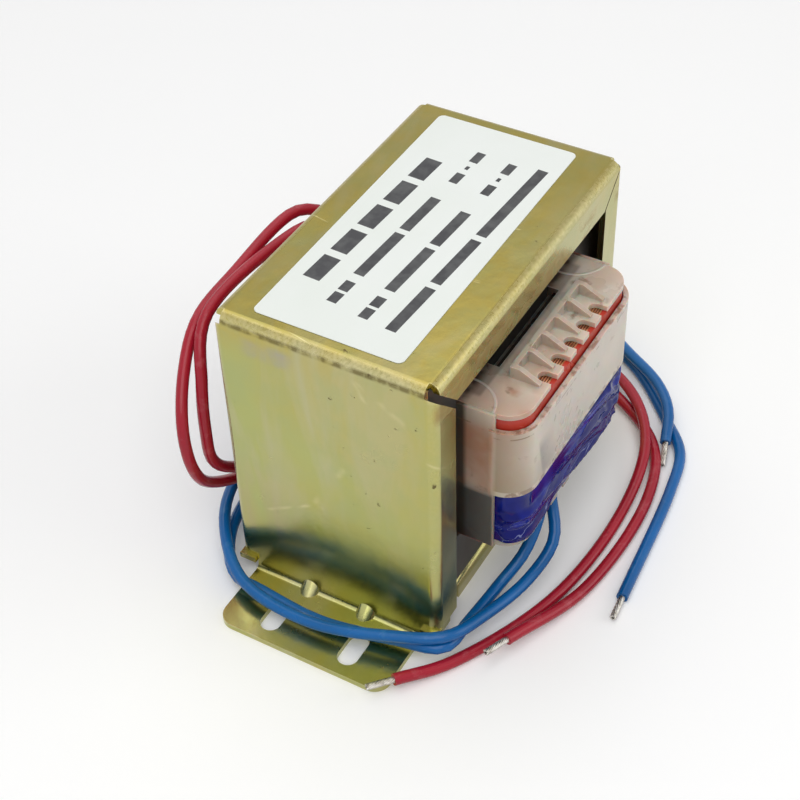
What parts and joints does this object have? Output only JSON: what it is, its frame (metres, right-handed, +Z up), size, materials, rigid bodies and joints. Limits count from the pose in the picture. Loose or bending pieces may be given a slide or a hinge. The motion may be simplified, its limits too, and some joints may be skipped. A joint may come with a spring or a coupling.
{
  "type": "laminated chassis transformer",
  "caption": "Laminated-core chassis transformer in a pressed, yellow-passivated cover with slotted feet, a two-section bobbin, taped windings and red and blue flying leads.",
  "frame": {"origin": "centre of the footprint on the mounting surface, under the feet, the free leads apart", "axes": "+Z up from the mounting surface, +X along the two feet, -Y towards the coil side from which the label reads upright"},
  "size_m": [0.1361, 0.1024, 0.0786],
  "materials": {
    "cover_zinc": "bright zinc plate with yellow-green passivation, lightly worn",
    "base_zinc": "bright zinc plate with yellow-green passivation",
    "core_steel": "varnished silicon steel with cut edges",
    "nylon": "milky natural nylon, slightly translucent",
    "nylon_cover": "milky natural nylon, slightly translucent",
    "copper_wire": "enamelled copper wire",
    "red_tape": "thin polyester tape",
    "blue_tape": "thin glossy polyester tape, wrinkled",
    "label_face": "coated white label",
    "red_pvc": "soft PVC insulation",
    "blue_pvc": "soft PVC insulation",
    "tinned_wire": "tinned copper strands, twisted"
  },
  "bodies": {
    "root": {"cover_frame": "cover_zinc", "base_plate": "base_zinc", "e_sheets_lower": "core_steel", "e_sheets_upper": "core_steel", "i_sheets_lower": "core_steel", "i_sheets_upper": "core_steel", "bobbin": "nylon", "coil_cover_front": "nylon_cover", "coil_cover_rear": "nylon_cover", "primary_winding": "copper_wire", "secondary_winding": "copper_wire", "primary_tape": "red_tape", "secondary_tape": "blue_tape", "label": "label_face", "red_lead_a": "red_pvc", "red_lead_b": "red_pvc", "blue_lead_a": "blue_pvc", "blue_lead_b": "blue_pvc", "red_end_a": "tinned_wire", "red_end_b": "tinned_wire", "blue_end_a": "tinned_wire", "blue_end_b": "tinned_wire"}
  },
  "joints": []
}
